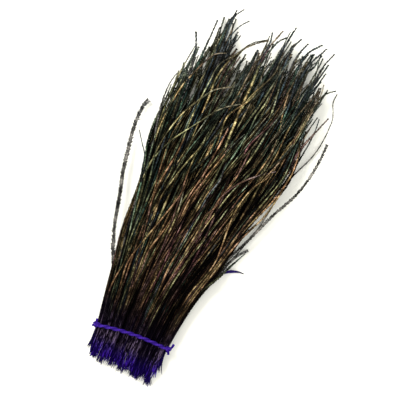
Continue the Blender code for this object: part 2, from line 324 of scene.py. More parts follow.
class Bunch:
    """Bent blanks that are joined into one mesh, with what their material reads kept as attributes."""

    def __init__(self, name):
        self.name = name
        self.members = []

    def add(self, blank, points, length, **facts):
        self.members.append((blank, points, length, facts))

    def build(self, material):
        starts = np.cumsum([0] + [len(points) for _, points, _, _ in self.members])
        points = np.concatenate([points for _, points, _, _ in self.members]) * MM
        faces = np.concatenate([blank.faces + start for (blank, _, _, _), start in zip(self.members, starts)])
        smooth = np.concatenate([blank.smooth for blank, _, _, _ in self.members])
        mesh = bpy.data.meshes.new(self.name)
        mesh.vertices.add(len(points))
        mesh.vertices.foreach_set("co", points.ravel())
        mesh.loops.add(faces.size)
        mesh.loops.foreach_set("vertex_index", faces.ravel())
        mesh.polygons.add(len(faces))
        mesh.polygons.foreach_set("loop_start", np.arange(0, faces.size, 3))
        mesh.polygons.foreach_set("use_smooth", smooth)
        mesh.update(calc_edges=True)
        for name, values in self.attributes().items():
            layer = mesh.attributes.new(name, "FLOAT", "POINT")
            layer.data.foreach_set("value", values.astype(np.float32))
        self.unwrap(mesh, faces)
        mesh.materials.append(material)
        item = bpy.data.objects.new(self.name, mesh)
        bpy.context.scene.collection.objects.link(item)
        return item

    def attributes(self):
        """The values that the finishes read: places on each member, and its own facts spread over it."""
        values = {"along": [], "reach": [], "fringe": [], "number": [], "side": [], "rise": []}
        for number, (blank, _, length, facts) in enumerate(self.members):
            size = len(blank.along)
            values["along"].append(blank.along)
            values["reach"].append(blank.along * length)
            values["fringe"].append(np.hypot(blank.fringe[:, 0], blank.fringe[:, 1]))
            values["number"].append(np.full(size, number + 1.0))
            values["side"].append(blank.core[:, 0])
            values["rise"].append(blank.core[:, 1])
            for name, value in facts.items():
                values.setdefault(name, []).append(np.full(size, value))
        return {name: np.concatenate(parts) for name, parts in values.items()}

    def unwrap(self, mesh, faces):
        """Gives each member a row of its own: its length runs along the row, its width across it."""
        layer = mesh.uv_layers.new(name="OFBake")
        rows = []
        for number, (blank, _, _, _) in enumerate(self.members):
            width = np.clip(0.2 * blank.core[:, 0] + 0.4 * blank.fringe[:, 0], -0.46, 0.46)
            row = (number + 0.5 + width) / len(self.members)
            rows.append(np.stack([0.002 + 0.996 * blank.along, row], 1))
        layer.data.foreach_set("uv", np.concatenate(rows)[faces.ravel()].ravel())


class Value:
    """A number that varies over a surface: a socket, whose arithmetic adds Math nodes."""

    def __init__(self, finish, socket):
        self.finish = finish
        self.socket = socket

    def math(self, operation, *others):
        return self.finish.node("ShaderNodeMath", {"operation": operation}, (self, *others))

    def __add__(self, other):
        return self.math("ADD", other)

    def __mul__(self, other):
        return self.math("MULTIPLY", other)

    def __sub__(self, other):
        return self.math("SUBTRACT", other)

    def __rsub__(self, other):
        return self.finish.node("ShaderNodeMath", {"operation": "SUBTRACT"}, (other, self))

    def __pow__(self, other):
        return self.math("POWER", other)

    __radd__ = __add__
    __rmul__ = __mul__

    def step(self, low, high):
        """0 below the low value, 1 above the high one and smooth between them."""
        return self.finish.node("ShaderNodeMapRange", {"interpolation_type": "SMOOTHSTEP"},
                                {"Value": self, "From Min": low, "From Max": high})


class Finish:
    """A material whose nodes are added by plain calls."""

    def __init__(self, name):
        self.material = bpy.data.materials.new(name)
        self.material.use_nodes = True
        self.tree = self.material.node_tree
        self.shader = self.tree.nodes["Principled BSDF"]

    def node(self, kind, settings=None, sockets=(), output=0):
        """Adds a node. Its settings are made first, a ramp's stops among them, then its sockets are fed."""
        node = self.tree.nodes.new(kind)
        for name, value in (settings or {}).items():
            if name == "stops":
                self.set_stops(node.color_ramp.elements, value)
            else:
                setattr(node, name, value)
        named = sockets.items() if isinstance(sockets, dict) else enumerate(sockets)
        for name, value in named:
            self.feed(node.inputs[name], value)
        return Value(self, node.outputs[output])

    @staticmethod
    def set_stops(elements, stops):
        for _ in range(len(stops) - len(elements)):
            elements.new(0.5)
        for element, (place, colour) in zip(elements, stops):
            element.position = place
            element.color = (*colour, 1.0)

    def feed(self, socket, value):
        """Gives a socket a link, a number or a colour."""
        if isinstance(value, Value):
            self.tree.links.new(value.socket, socket)
        else:
            socket.default_value = (*value, 1.0) if isinstance(value, tuple) else value

    def set(self, **sockets):
        """Feeds the shader's sockets, named with underscores for spaces."""
        for name, value in sockets.items():
            self.feed(self.shader.inputs[name.replace("_", " ")], value)

    def read(self, attribute):
        return self.node("ShaderNodeAttribute", {"attribute_name": attribute}, output=2)

    def noise(self, place, scale, detail=2.0):
        return self.node("ShaderNodeTexNoise", {"noise_dimensions": "1D"},
                         {"W": place, "Scale": scale, "Detail": detail})

    def ramp(self, value, stops):
        """A colour read from stops, each a place and a colour."""
        return self.node("ShaderNodeValToRGB", {"stops": stops}, (value,))

    def blend(self, share, first, second):
        """A mix of two colours, which a Mix node takes at its sockets 6 and 7 and gives at its output 2."""
        return self.node("ShaderNodeMix", {"data_type": "RGBA"}, {0: share, 6: first, 7: second}, output=2)


# From red-brown through bronze, gold and olive to green, then slate blue and warm grey
HERL_COLOURS = (
    (0.00, (0.34, 0.14, 0.14)),
    (0.12, (0.44, 0.26, 0.22)),
    (0.25, (0.57, 0.31, 0.15)),
    (0.38, (0.60, 0.45, 0.19)),
    (0.52, (0.43, 0.43, 0.20)),
    (0.64, (0.24, 0.32, 0.20)),
    (0.76, (0.12, 0.25, 0.16)),
    (0.87, (0.10, 0.17, 0.21)),
    (1.00, (0.23, 0.22, 0.20)),
)
HERL_DARK = (0.0010, 0.0008, 0.0009)
# The pale colour that the brightest painted glints are whitened towards
GLINT = (0.52, 0.47, 0.38)
TIP_GREY = (0.20, 0.21, 0.215)
# Colours of the dyed butts: the dark ones are the dye and the bare quill, the light quill colour is a painted
# highlight, and the light dye colour is a painted highlight on the herls' butts and the paler dye streaks of
# the loose butt
DYE_DARK = (0.0028, 0.0005, 0.032)
PALE_DYE_AND_HIGHLIGHT = (0.036, 0.009, 0.25)
QUILL_DARK = (0.0016, 0.0007, 0.0034)
QUILL_HIGHLIGHT = (0.10, 0.07, 0.12)
EDGE_TINT = (0.3, 0.3, 0.3)


def herl_finish():
    """Dark barbs with painted glints in metallic colours, which change along each herl and from herl to herl,
    and painted highlights on the dyed butts.
    """
    finish = Finish("herl")
    along = finish.read("along")
    reach = finish.read("reach")
    number = finish.read("number")
    fringe = finish.read("fringe")
    tone = finish.read("tone")
    tip_tone = finish.read("tip_tone")
    shine = finish.read("shine")
    place = reach + number * 731.0
    play = finish.noise(place, 0.035) - 0.5
    # Noise that breaks the painted glints into dashes, waves and sparkle along each herl
    glint_dashes = finish.noise(place, 0.2).step(0.38, 0.64)
    waves = finish.noise(place + 93.0, 0.06).step(0.4, 0.62)
    tone = tone + (tip_tone - tone) * along.step(0.45, 0.95) + reach.step(50.0, 120.0) * 0.05 - 0.05
    hue = finish.ramp(tone + play * 0.48, HERL_COLOURS)
    sparkle = finish.noise(place + 17.0, 1.1).step(0.4, 0.7)
    # The painted glint: a highlight painted into the base colour, brightest along the core, gone at the
    # fringe's edge, and strongest on herls with a strong glint
    core = (1.0 - fringe) ** 3.4
    painted_glint = 2.1 * shine * (glint_dashes * 0.7 + 0.3) * (waves * 0.8 + 0.2) * (sparkle * 0.6 + 0.4) * core
    # Weaker painted glints near the string
    painted_glint = painted_glint * (reach.step(30.0, 82.0) * 0.88 + 0.12)
    # The tips turn grey and have a painted highlight of their own
    tips = along.step(0.8, 0.98)
    hue = finish.blend(tips * 0.55, hue, TIP_GREY)
    painted_glint = painted_glint + tips * (1.0 - fringe) * (glint_dashes * 0.7 + 0.3) * (sparkle * 0.7 + 0.3) * 0.42
    # The base colour runs from near-black to the hue by the painted glint, whitened where the glint is
    # brightest
    colour = finish.blend(painted_glint, HERL_DARK, finish.blend(painted_glint.step(0.45, 1.1) * 0.3, hue, GLINT))
    dyed = 1.0 - reach.step(20.0, 48.0)
    ends = 1.0 - reach.step(4.0, 17.0)
    # Painted highlights on the dyed butts, in the same dashes as the painted glints, strongest towards the
    # butt ends
    streaks = (shine * glint_dashes) ** 1.5 * 2.2 * (1.0 - reach.step(17.0, 27.0) * 0.82)
    dye = finish.blend(streaks, finish.blend(ends, QUILL_DARK, DYE_DARK),
                       finish.blend(ends, QUILL_HIGHLIGHT, PALE_DYE_AND_HIGHLIGHT))
    finish.set(Base_Color=finish.blend(dyed, colour, dye), Metallic=0.7 - dyed * 0.6 - fringe * 0.6,
               Roughness=0.36 + fringe * 0.2, Specular_IOR_Level=0.03, Specular_Tint=EDGE_TINT)
    return finish.material


def fringe_profile(along, tip_share):
    """The share of its full width that a herl's fringe has along it, with the given share at its tip."""
    start = eased((along - BARE_SHARE) / 0.28)
    end = eased((1.0 - along) / 0.16)
    return mix(0.22, 1.0, start) * mix(tip_share, 1.0, end)


def lay_herl(bunch, blank, path, width, twist, tone, tip_tone, shine, bluntness=0.0):
    """Bends a blank along a path and adds it to a bunch."""
    along = np.linspace(0, 1, len(path))
    length = np.linalg.norm(np.diff(path, axis=0), axis=1).sum()
    turns = length / CHANCE.uniform(*TURN_LENGTHS)
    turn = CHANCE.uniform(-0.5, 0.5) + twist * np.sin(2 * math.pi * (turns * along + CHANCE.uniform()))
    tip_share = max(CHANCE.uniform(0.42, 0.78), bluntness)
    fringe_width = FRINGE_HALF_WIDTH * width * fringe_profile(along, tip_share)
    core_width = CORE_HALF_WIDTH * mix(0.75, 1.0, eased(along / 0.4))
    core_width = core_width * mix(1.0, 0.7, eased((along - 0.8) / 0.2))
    core_width[[0, -1]] *= 0.4
    bunch.add(blank, bend(blank, path, turn, core_width, fringe_width), length, tone=tone, tip_tone=tip_tone,
              shine=shine)


def butt_of(share):
    """The Y where the butt of a herl ends, and how far it leans on its way there."""
    tooth_x, tooth_y = next((x, y) for limit, x, y in TEETH if share <= limit)
    lean = tooth_x - across(share, STRING_Y) - share * BASE_SWELL
    end = tooth_y - TOOTH_OVERRUN + TOOTH_SLOPE * abs(lean) + abs(CHANCE.normal(0.0, 1.1))
    if CHANCE.uniform() < GATHERED_CHANCE:
        return end, lean
    return end + CHANCE.uniform(0.0, 2.5), 0.3 * lean


class Tuft:
    """Herls that drift together into a pointed lock, and the share of all herls that lie left of it."""

    def __init__(self, place, tip_x, tip_y, lean, tone, shine):
        self.place = place
        self.tip_x = tip_x
        self.tip_y = tip_y
        self.lean = lean
        self.tone = tone
        self.shine = shine
        self.rise = CHANCE.normal(0.0, 0.12)

    def tip_at(self, shortfall):
        """X where a herl ends that falls short of the point: the lock widens from there."""
        run = min(shortfall, LEAN_RUN)
        spread = 0.25 + 0.08 * min(run, SPREAD_RUN)
        return self.tip_x - self.lean * run / LEAN_RUN + CHANCE.normal(0.0, spread)


def make_tufts():
    """The tufts in order from left to right, each placed at the middle of its own herls."""
    counts = np.array([count for _, _, _, count, _, _ in TUFTS], float)
    places = (np.cumsum(counts) - counts / 2) / counts.sum()
    return [Tuft(place, x, y, lean, tone, shine)
            for place, (x, y, lean, _, tone, shine) in zip(places, TUFTS)]


def sway(share, y):
    """How far the herls on top have swept to the right of the fan's own lines."""
    return SWAY * eased(y / SWAY_LENGTH) * eased((share + 1.0) / 0.3) * (1.0 - eased((share - 0.1) / 0.7))


def fan_path(share, level, hook, tip_y, end_share, rise, tip_bend):
    """The path of a herl that lies in the mass, from its butt to its tip."""
    butt_y, lean = butt_of(share)
    along = np.linspace(0, 1, HERL_STATIONS)
    y = mix(butt_y, tip_y, along)
    grown = eased((y - STRING_Y) / DRIFT_LENGTH)
    end_level = np.clip(level + rise, 0.02, 0.99)
    shares = mix(share, end_share, grown)
    levels = mix(level, end_level, grown)
    for wave_length, size in WAVES:
        shares = shares + size * grown * np.sin(2 * math.pi * (y / wave_length + CHANCE.uniform()))
        levels = levels + size * grown * np.sin(2 * math.pi * (y / wave_length + CHANCE.uniform()))
    limit = SHARE_LIMIT - abs(CHANCE.normal(0.0, 0.03))
    shares = np.clip(shares, -limit, limit)
    free = np.clip((along - 0.5) / 0.5, 0.0, 1.0) ** 2
    hooked = np.clip((along - 0.86) / 0.14, 0.0, 1.0) ** 2
    below = np.clip((STRING_Y - y) / 20.0, 0.0, 1.3)
    x = across(shares, y) + edge_shift(shares, y) + tip_bend * free + hook * hooked
    x = x + sway(share, y) * eased((level - 0.45) / 0.4)
    x = x + below * CHANCE.normal(0.0, 0.8) + below ** 3 * (0.85 * lean + CHANCE.normal(0.0, 0.5))
    for middle, part_y, reach, width in PARTINGS:
        aside = x - middle
        opening = np.sign(aside) * width / 2 * np.exp(-np.abs(aside) / PARTING_FADE)
        x = x + opening * (1 - eased(np.abs(y - part_y) / reach))
    z = height(shares, y, np.clip(levels, 0.0, 1.0)) + CHANCE.normal(0.0, 1.2) * free
    return np.stack([x, y, np.maximum(z, LOWEST_Z)], 1)


def region_of(share):
    return int(share > REGION_EDGES[0]) + int(share > REGION_EDGES[1])


def locks_in(layer, region):
    """The names of the lock solids in one layer and region."""
    first = sum(LAYER_COLUMNS[:layer]) + 1
    columns = LAYER_COLUMNS[layer]
    shares = [2 * (column + 0.5) / columns - 1 for column in range(columns)]
    return [f"herl_lock_{first + column:02d}"
            for column, share in enumerate(shares) if region_of(share) == region]


def mass_share():
    """A random share across, less often where the mass is thin."""
    while True:
        share = CHANCE.uniform(-1.0, 1.0)
        thinning = LEFT_THINNING if share < 0 else RIGHT_THINNING
        if CHANCE.uniform() < 1 - thinning * abs(share) ** 2.5:
            return share


# Herls on top that catch the eye: points of X and Y from where each comes into view, then its tone, the
# strength of its painted glints and its width. These end in view
SEEN_TO_THE_TIP = (
    (((-41.8, -3.1), (-40.6, 11.1), (-39.1, 25.6), (-36.6, 36.6), (-32.1, 48.9), (-26.8, 57.9), (-20.8, 66.7),
      (-11.6, 72.5)), 0.44, 0.75, 1.0),
    (((-42.5, 3.4), (-40.3, 11.7), (-37.1, 20.4), (-32.2, 29.7), (-26.7, 37.5), (-20.4, 46.4), (-13.2, 56.3),
      (-6.8, 61.5), (-1.5, 64.7)), 0.50, 0.7, 1.0),
    (((-44.0, 32.6), (-43.2, 45.0), (-39.9, 64.3), (-36.0, 74.3), (-32.5, 82.6), (-28.7, 88.9),
      (-22.1, 92.0)), 0.36, 0.8, 1.0),
    (((-18.0, 74.2), (-15.5, 90.3), (-13.2, 98.2), (-9.9, 103.7), (-0.2, 110.4)), 0.62, 0.25, 1.1),
    (((-22.0, 76.0), (-18.5, 88.5), (-12.6, 99.0), (-6.6, 105.3), (-0.6, 109.5)), 0.42, 0.9, 1.25),
    (((-0.5, 48.1), (-0.6, 61.9), (0.3, 80.2), (0.5, 96.8), (2.6, 108.7), (6.0, 119.1)), 0.42, 0.8, 1.6),
    (((9.4, 6.5), (16.9, 18.5), (25.9, 27.0), (35.1, 33.5)), 0.12, 0.9, 1.0),
    (((39.9, 64.9), (42.3, 80.4), (44.0, 88.8), (43.2, 97.1)), 0.38, 0.9, 1.0),
    (((-40.0, -24.0), (-42.6, 6.0), (-44.4, 23.6), (-46.4, 34.2), (-48.2, 45.1), (-48.9, 54.4), (-48.4, 62.5),
      (-46.8, 68.3)), 1.0, 0.3, 1.5),
    (((-38.6, -14.0), (-44.2, 22.0), (-45.8, 52.0), (-44.6, 74.0), (-42.6, 89.0)), 0.55, 0.4, 1.1),
    (((-37.0, -4.0), (-42.6, 34.0), (-42.4, 66.0), (-40.8, 87.0)), 0.6, 0.3, 1.1),
    (((-38.8, 70.0), (-41.6, 88.1), (-45.6, 98.2)), 0.95, 0.2, 1.7),
    (((-39.0, 66.0), (-40.2, 78.0), (-40.2, 89.6)), 0.7, 0.3, 1.5),
    (((-40.8, 64.0), (-41.9, 77.0), (-41.7, 88.0)), 0.66, 0.3, 1.3),
    (((-36.4, 76.0), (-35.8, 97.4), (-35.4, 110.0)), 0.8, 0.2, 1.4),
    (((-26.2, 96.0), (-26.7, 111.8), (-26.3, 120.5)), 0.9, 0.2, 1.5),
    (((-28.6, 98.0), (-27.4, 114.8), (-22.0, 122.7)), 0.9, 0.2, 1.3),
    (((-24.4, 94.0), (-22.3, 108.4), (-19.8, 112.9), (-16.2, 116.9)), 0.9, 0.3, 1.1),
    (((-0.4, 96.0), (1.2, 109.0), (0.1, 115.7)), 0.9, 0.1, 1.4),
    (((0.2, 94.0), (2.2, 107.6), (6.2, 118.8)), 0.1, 0.2, 1.5),
    (((1.2, 96.0), (4.0, 107.0), (6.2, 112.2), (9.9, 115.8)), 0.7, 0.3, 1.2),
    (((9.4, 96.0), (11.2, 111.0), (13.2, 124.4)), 0.9, 0.1, 1.6),
    (((15.2, 96.0), (16.5, 113.5), (19.1, 118.7)), 0.9, 0.2, 1.2),
    (((19.4, 94.0), (20.6, 108.6), (24.2, 117.7)), 0.9, 0.2, 1.2),
    (((23.4, 92.0), (26.4, 112.5), (33.0, 120.4)), 0.8, 0.2, 1.7),
    (((27.4, 92.0), (30.0, 106.4), (33.4, 112.9), (36.4, 119.3)), 0.9, 0.2, 1.4),
    (((37.0, 88.0), (38.3, 107.1), (42.4, 118.2)), 0.9, 0.2, 1.3),
    (((36.6, 90.0), (35.6, 104.3), (34.3, 111.0)), 0.6, 0.3, 0.7),
    (((44.6, 52.5), (49.3, 66.0), (54.0, 78.0)), 0.16, 0.5, 1.6),
    (((42.4, 74.0), (44.3, 88.1), (46.8, 92.5), (52.1, 96.4)), 0.6, 0.3, 1.3),
    (((34.4, 41.3), (36.7, 53.1), (39.9, 60.8), (42.0, 69.9), (42.5, 82.9), (43.8, 89.2)), 0.36, 1.0, 0.9),
    (((27.0, -42.4), (31.2, -33.2), (34.6, -26.4), (36.8, -22.0)), 0.6, 0.15, 1.3),
    (((-44.6, 4.0), (-46.4, 12.9), (-50.5, 18.6), (-55.3, 25.9)), 0.88, 0.5, 0.75),
    (((-12.9, -21.0), (-12.9, -13.6), (-13.4, -7.7), (-14.4, -0.7)), 0.42, 0.7, 0.9),
)
# These pass out of view again under the others
SEEN_PARTLY = (
    (((14.8, -54.7), (18.7, -44.5), (21.1, -33.6), (21.0, -22.6), (20.4, -9.8), (20.4, -2.9), (22.3, 9.3),
      (27.1, 21.5), (31.6, 27.4)), 0.32, 1.0, 1.0),
    (((4.2, 21.5), (7.8, 39.5), (9.7, 51.7), (10.3, 58.8)), 0.66, 0.85, 1.0),
    (((-30.6, -55.2), (-25.7, -36.6), (-19.9, -18.4), (-15.0, 0.0)), 0.3, 0.8, 1.0),
    (((-31.0, -3.7), (-29.2, 10.0), (-27.3, 20.6), (-26.8, 27.0)), 0.25, 0.7, 1.0),
    (((-26.0, -5.4), (-24.6, 0.2), (-21.3, 11.9), (-18.6, 20.4), (-14.6, 31.9)), 0.45, 0.7, 1.0),
    (((-8.1, 0.6), (-6.0, 7.6), (-3.4, 17.9), (-1.7, 22.9), (1.5, 34.7)), 0.22, 0.9, 1.0),
    (((-9.6, 1.3), (-6.9, 12.8), (-5.5, 24.5), (-4.4, 34.2), (-3.3, 45.1)), 0.20, 0.8, 1.0),
    (((-20.3, -39.4), (-18.2, -32.4), (-15.6, -22.1)), 0.25, 0.8, 1.0),
    (((1.2, 5.0), (4.3, 15.5), (3.9, 22.7)), 0.95, 0.8, 1.0),
    (((3.3, -20.0), (4.2, -8.6), (7.8, -2.2)), 0.30, 0.8, 1.0),
    (((-34.9, -73.5), (-34.4, -67.2), (-32.7, -56.0), (-32.6, -51.7)), 0.38, 0.9, 1.0),
    (((-21.6, -68.2), (-21.3, -58.2), (-21.5, -53.3)), 0.38, 0.8, 1.0),
    (((-12.0, -76.6), (-11.4, -69.0), (-10.5, -60.6)), 0.35, 0.9, 1.0),
    (((-5.7, -74.1), (-5.4, -67.2), (-5.4, -57.9), (-4.9, -45.4), (-4.0, -40.1)), 0.33, 0.9, 1.0),
    (((0.2, 63.4), (4.4, 76.3), (7.8, 82.8), (11.5, 92.9)), 0.42, 0.65, 1.0),
    (((9.7, 52.7), (10.4, 61.5), (13.0, 72.0)), 0.60, 0.65, 1.0),
    (((27.4, 59.8), (25.3, 69.3), (24.1, 80.8)), 0.35, 0.9, 1.0),
    (((39.2, 59.6), (40.9, 66.6), (42.3, 74.6), (43.6, 79.7)), 0.35, 0.9, 1.0),
    (((-27.2, 46.3), (-25.4, 69.4), (-23.5, 83.9), (-15.6, 93.9)), 0.50, 0.7, 1.0),
    (((-5.7, 56.7), (-2.5, 61.5), (4.2, 72.7)), 0.40, 0.7, 1.0),
    (((31.6, -12.9), (35.0, -5.3), (38.2, 1.6), (41.3, 11.8), (43.3, 22.4)), 0.34, 1.0, 0.9),
    (((40.0, 14.2), (43.4, 25.3), (45.3, 35.2), (45.3, 43.6), (44.0, 52.5), (41.9, 58.4)), 0.28, 0.8, 1.0),
    (((34.3, 40.5), (36.6, 48.9), (38.4, 53.0)), 0.40, 1.0, 1.0),
    (((8.6, 4.9), (12.4, 16.8), (14.7, 36.6)), 0.18, 0.7, 1.0),
    (((13.0, 42.2), (17.1, 51.9), (22.0, 62.4)), 0.08, 0.7, 1.0),
    (((-36.4, -39.2), (-39.2, -21.8), (-41.8, -3.1)), 0.68, 0.8, 1.0),
)


def placed_path(points, to_the_tip):
    """The path of a herl that lies on top of the mass where it runs through the given points."""
    share = np.clip(share_at(*points[0]), -0.9, 0.9)
    y = np.arange(STRING_Y - 20.0, points[0][1] - 14.0, 12.0)
    before = np.stack([across(share, y) + edge_shift(share, y), y, height(share, y, 0.93)], 1)
    x, y = np.array(points).T
    seen = np.stack([x, y, height(share_at(x, y), y, 1.0) + SEEN_LIFT], 1)
    share = share_at(*points[-1])
    room = min(HIDDEN_RUN, read_along(TIP_REACH, share) - 5.0 - points[-1][1])
    hidden = not to_the_tip and room >= SHORTEST_HIDDEN_RUN
    y = points[-1][1] + room * np.array((0.33, 0.67, 1.0) if hidden else ())
    after = np.stack([across(share, y), y, height(share, y, 0.8)], 1)
    return smooth_path(np.concatenate([before, seen, after]), HERL_STATIONS)


# How a herl of the mass ends, in three ways. Each gives the Y of its tip, its share across there, how much
# higher it lies there, and how far it bends to the right

def leaning_end(share):
    """Across the others, to the right."""
    end_share = share + CHANCE.uniform(0.12, 0.45) * (1.0 - max(0.0, share))
    tip_bend = CHANCE.uniform(-2.0, 12.0) * (1.0 - 0.7 * max(0.0, share))
    tip_y, end_share = free_tip(end_share, CHANCE.uniform(0.0, 62.0))
    return tip_y, end_share, 0.3, tip_bend


def loose_end(share):
    """Anywhere near its own line."""
    tip_y, end_share = free_tip(share + CHANCE.normal(0.03, 0.18), 80.0 * CHANCE.beta(1.2, 1.8))
    return tip_y, end_share, CHANCE.normal(0.0, 0.2), CHANCE.normal(3.0, 5.0) * (1.0 - 0.8 * abs(share))


def free_tip(end_share, shortfall):
    """The Y and the share across where a herl ends that lies in no tuft."""
    end_share = np.clip(end_share, -0.93, 0.86) + CHANCE.normal(0.0, 0.02)
    return read_along(TIP_REACH, end_share) - shortfall * (1.0 - 0.5 * abs(end_share) ** 3), end_share


def tuft_end(share, level, tuft, hook):
    """In the point of a tuft or further down its lock."""
    if CHANCE.uniform() < NEAR_POINT_CHANCE:
        shortfall = POINT_LENGTH * CHANCE.beta(1.0, 1.5)
    else:
        shortfall = 12.0 + 64.0 * CHANCE.beta(1.2, 1.8)
    tip_y = tuft.tip_y + 0.8 - shortfall
    tip_bend = 2.0 * tuft.lean + CHANCE.normal(0.0, 1.0)
    drift = tip_bend + hook + sway(share, tip_y) * eased((level - 0.45) / 0.4)
    end_share = share_at(tuft.tip_at(shortfall) - drift, tip_y)
    return tip_y, end_share, tuft.rise + CHANCE.normal(0.0, 0.06), tip_bend


def make_mass(blanks, material):
    """The herls of the mass, as one piece for each layer and region."""
    bunches = {(layer, region): Bunch(f"herls_{layer_name}_{region_name}")
               for layer, layer_name in enumerate(LAYER_NAMES)
               for region, region_name in enumerate(REGION_NAMES)}
    tufts = make_tufts()
    for number in range(HERL_COUNT):
        share = mass_share()
        layer = CHANCE.choice(len(LAYER_NAMES), p=LAYER_CHANCES)
        level = (layer + CHANCE.uniform()) / 3
        place = (share + 1.0) / 2 + CHANCE.normal(0.0, 0.02)
        tuft = min(tufts, key=lambda tuft: abs(tuft.place - place))
        hook = CHANCE.normal(1.0, 1.8)
        if layer == TOP_LAYER and CHANCE.uniform() < LEANING_CHANCE:
            end = leaning_end(share)
        elif CHANCE.uniform() < LOOSE_CHANCE:
            end = loose_end(share)
        else:
            end = tuft_end(share, level, tuft, hook)
        width = CHANCE.uniform(0.8, 1.1) + 0.3 * (end[0] > tuft.tip_y - POINT_LENGTH)
        tone = MASS_TONE + LEFT_TONE * (share < -0.35) + CHANCE.normal(0.0, TONE_SPREAD)
        tip_tone = tuft.tone + CHANCE.normal(0.0, 0.08)
        # How strong the herl's painted glints are: mostly weak, partly set by its tuft, and stronger towards
        # the right
        shine = CHANCE.beta(0.7, 1.7) ** 1.4 * mix(tuft.shine, 1.0, 0.3) * mix(1.15, 3.0, max(0.0, share))
        path = fan_path(share, level, hook, *end)
        lay_herl(bunches[layer, region_of(share)], blanks[number % len(blanks)], path, width=width,
                 twist=CHANCE.uniform(0.2, 0.9), tone=tone, tip_tone=tip_tone, shine=min(1.0, shine))
    for placed, to_the_tip in ((SEEN_PARTLY, False), (SEEN_TO_THE_TIP, True)):
        for points, tone, shine, width in placed:
            bunch = bunches[TOP_LAYER, region_of(share_at(*points[0]))]
            lay_herl(bunch, blanks[0], placed_path(points, to_the_tip), width=width, twist=0.3, tone=tone,
                     tip_tone=tone, shine=shine)
    for (layer, region), bunch in bunches.items():
        piece = bunch.build(material)
        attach(piece, "root")
        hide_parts(*locks_in(layer, region))


# Stray herls: each one's width, the side, height and Y at which it leaves the mass, then points of X, Y and Z
EDGE_INSET = 1.7
STRAYS = {
    "stray_herl_left": (2.3, -1, 6.0, -60.0, (
        (-43.6, -48.7, 8.0), (-48.3, -33.6, 8.0), (-51.5, -18.2, 8.0), (-55.4, -2.9, 7.5),
        (-57.9, 12.5, 6.5), (-59.7, 26.0, 5.2), (-59.9, 36.0, 4.2), (-59.2, 43.2, 3.6), (-57.4, 46.6, 3.4))),
    "stray_herl_right_thick": (1.5, 1, 7.4, -40.0, (
        (29.8, -25.8, 8.5), (35.0, -14.8, 8.8), (43.7, 5.8, 9.0), (54.6, 28.4, 7.0), (59.0, 47.6, 4.5),
        (60.1, 62.9, 3.0))),
    "stray_herl_right_long": (0.65, 1, 6.0, -64.0, (
        (24.0, -50.0, 5.0), (31.4, -28.0, 3.6), (39.6, -2.0, 1.2), (46.0, 32.3, 1.0), (55.2, 55.4, 2.0),
        (57.4, 73.2, 2.2), (57.2, 80.0, 2.2), (53.2, 90.3, 2.0), (54.0, 95.6, 1.6))),
    "stray_herl_right_low": (1.3, 1, 4.6, -60.0, (
        (26.8, -40.0, 2.9), (30.4, -30.8, 2.6), (34.0, -24.4, 2.0), (38.4, -19.8, 1.0))),
}


def edge_route(side, stack_z, leave_y):
    """The points of a herl that follows the edge of the mass from its butt until it leaves it."""
    points = []
    for y in (-117.0, STRING_Y, -84.0, -66.0, -48.0, -30.0):
        if y > leave_y:
            break
        points.append((across(side, y) - side * EDGE_INSET, y, stack_z))
    return points


def make_strays(blank, material):
    bunch = Bunch("stray_herls")
    for width, side, stack_z, leave_y, points in STRAYS.values():
        path = smooth_path(edge_route(side, stack_z, leave_y) + list(points), HERL_STATIONS)
        # Each stray gets a strong painted glint
        lay_herl(bunch, blank, path, width=width, twist=0.4, tone=1.1, tip_tone=1.1, shine=0.95,
                 bluntness=1.0)
    piece = bunch.build(material)
    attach(piece, "root")
    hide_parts(*STRAYS)


# The thread, a cord of two plies: its ring, then its plies, its knots and their cut ends
# The thread's dye colours: the dark one also stands for painted shade, the light one for a painted highlight
THREAD_DYE_AND_SHADE = (0.0125, 0.0022, 0.102)
THREAD_DYE_AND_HIGHLIGHT = (0.057, 0.018, 0.30)
THREAD_RADIUS = 1.1
LINK_SWELL = 0.22
THREAD_CLEARANCE = 0.35
RING_END = 3.2
RING_POINTS = 24
CORD_Y = STRING_Y + 1.0
STRING_BOW = 2.2
STRING_TILT = 1.1
THREAD_SIDES = 10
CORD_STATIONS = 700
PLY_RADIUS = 0.68
PLY_OFFSET = 0.55
PLY_PITCH = 10.8
KNOT_STATIONS = 60
KNOT_LENGTH = 12.0
KNOT_SIZE = (0.55, 0.55, 0.8)
KNOT_RADII = (0.66, 0.66)
END_RADII = (0.62, 0.84)


def thread_finish():
    """Dyed thread, with a painted highlight where a ply lies on top of the cord and painted shade where it
    passes under the other.
    """
    finish = Finish("thread")
    reach = finish.read("reach")
    number = finish.read("number")
    wind = reach * 5.6
    fibres = wind.math("SINE") * finish.read("side") + wind.math("COSINE") * finish.read("rise")
    uneven = finish.noise(reach + number * 57.0, 1.6, 3.0)
    # A painted highlight on the top of each ply, and painted shade on its sides and underneath
    painted_ply_light = (reach * (2 * math.pi / PLY_PITCH) + finish.read("phase")).math("SINE") * 0.5 + 0.5
    patches = finish.noise(reach + number * 31.0, 0.13).step(0.35, 0.65)
    # How light the thread is: its fibres, uneven dye and patches, times the painted highlight of each ply
    light = (fibres * 0.2 + uneven * 0.9) * (painted_ply_light ** 2.2 * 1.1 + 0.02) * (patches * 0.5 + 0.7)
    colour = finish.blend(light, THREAD_DYE_AND_SHADE, THREAD_DYE_AND_HIGHLIGHT)
    finish.set(Base_Color=colour, Roughness=0.65, Specular_IOR_Level=0.06)
    return finish.material


